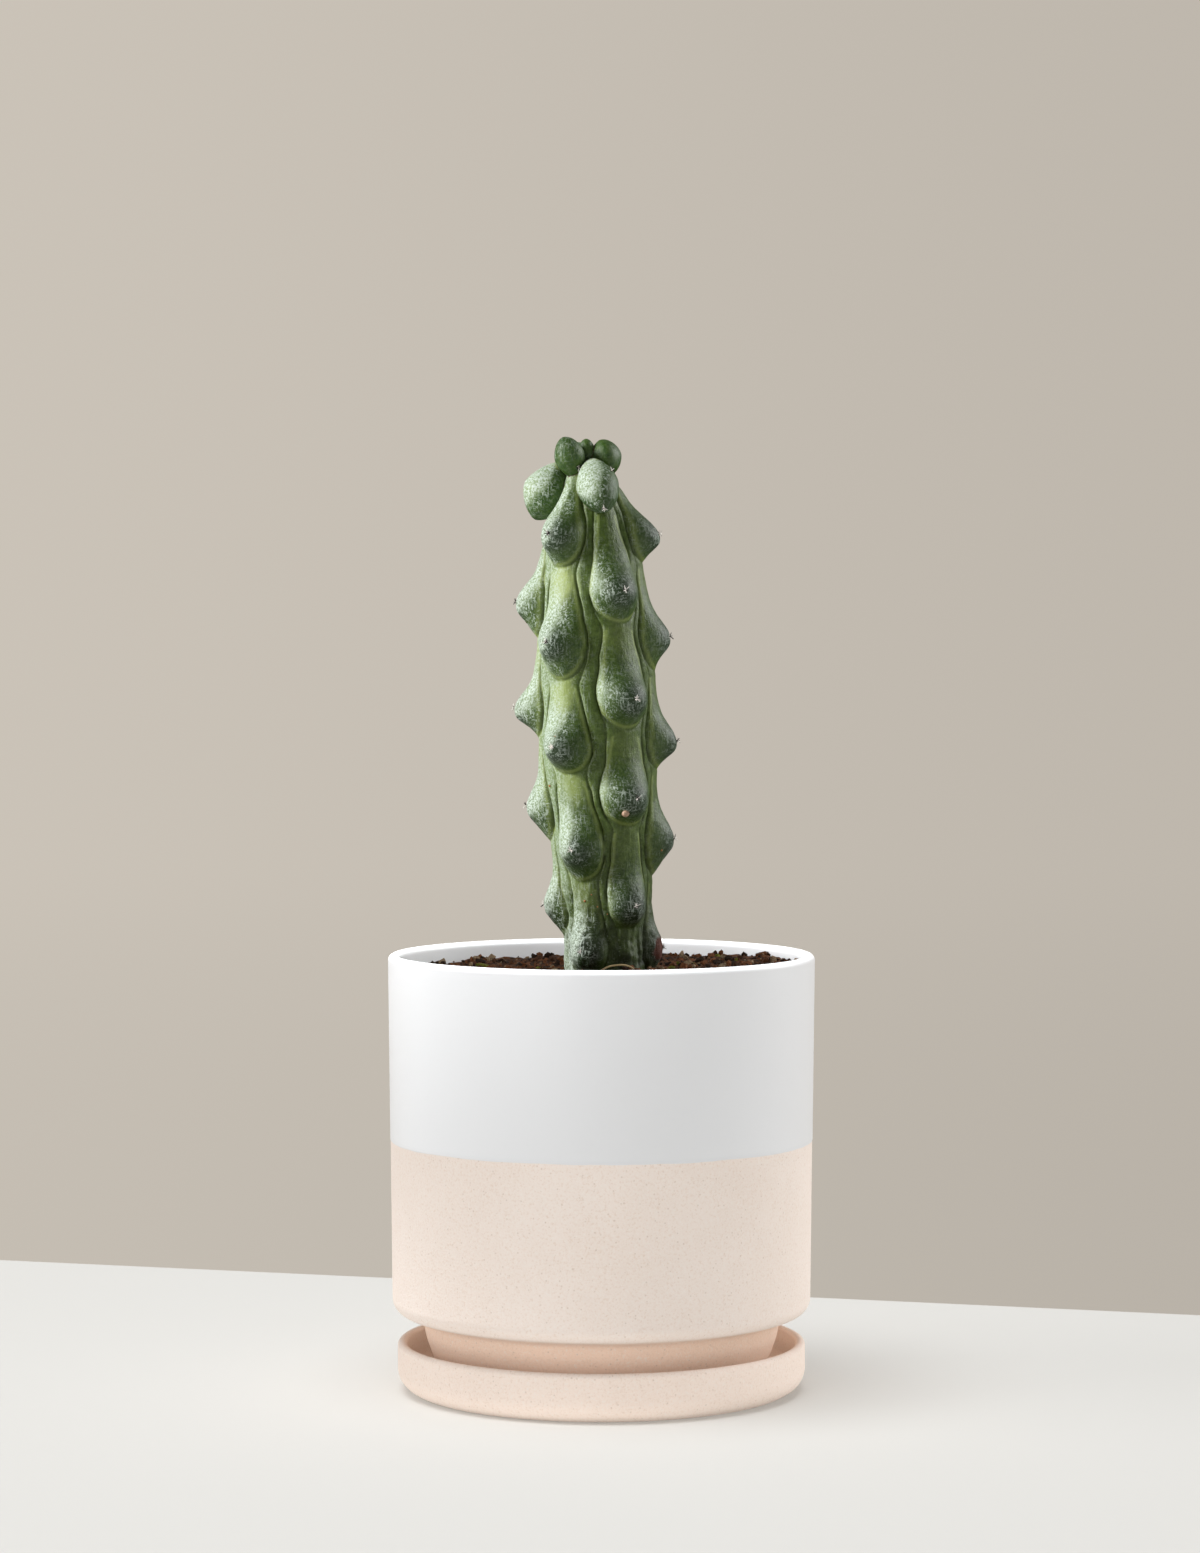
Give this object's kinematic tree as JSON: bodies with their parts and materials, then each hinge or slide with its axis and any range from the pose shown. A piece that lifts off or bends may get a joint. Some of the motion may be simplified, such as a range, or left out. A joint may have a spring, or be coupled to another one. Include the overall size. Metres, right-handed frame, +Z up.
{
  "type": "potted boobie cactus",
  "caption": "Columnar cactus with swollen drooping tubercles along its ribs, growing in a straight-sided two-tone stoneware pot that stands on a round saucer.",
  "frame": {"origin": "on the pot's axis, at the underside of the saucer", "axes": "+Z up along the pot's axis, -Y towards the side of the plant that the picture shows, +X to its right"},
  "size_m": [0.13, 0.13, 0.2907],
  "materials": {
    "cactus": "waxy green skin with a whitish bloom",
    "soil": "loose dark potting soil",
    "pot": "white satin glaze above, bare blush stoneware below",
    "saucer": "bare blush stoneware, matte"
  },
  "bodies": {
    "root": {"cactus": "cactus", "soil": "soil", "pot": "pot", "saucer": "saucer"}
  },
  "joints": []
}
